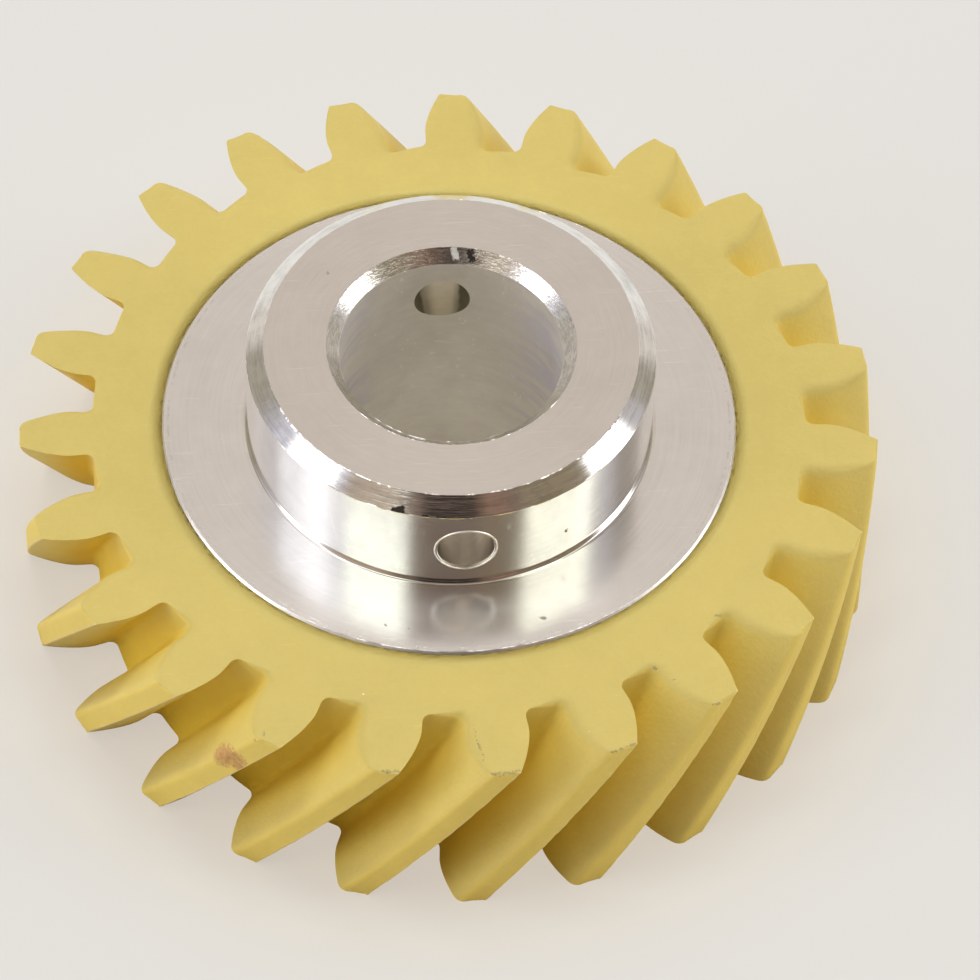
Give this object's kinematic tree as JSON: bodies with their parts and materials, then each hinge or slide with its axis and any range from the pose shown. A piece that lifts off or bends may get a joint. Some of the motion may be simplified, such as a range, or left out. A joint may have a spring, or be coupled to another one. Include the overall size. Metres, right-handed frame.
{
  "type": "worm wheel",
  "caption": "Worm wheel: helical moulded toothed ring locked round a turned metal hub, whose raised boss has a plain shaft bore and a cross pin hole.",
  "frame": {"origin": "centre of the shaft bore on the bottom face, which the wheel rests on", "axes": "+Z along the bore axis, towards the boss; the cross pin hole runs along Y"},
  "size_m": [0.049, 0.049, 0.0196],
  "materials": {
    "nylon": "satin moulded nylon, butter yellow",
    "metal": "bright turned"
  },
  "bodies": {
    "root": {"hub": "metal", "toothed_ring": "nylon"}
  },
  "joints": []
}
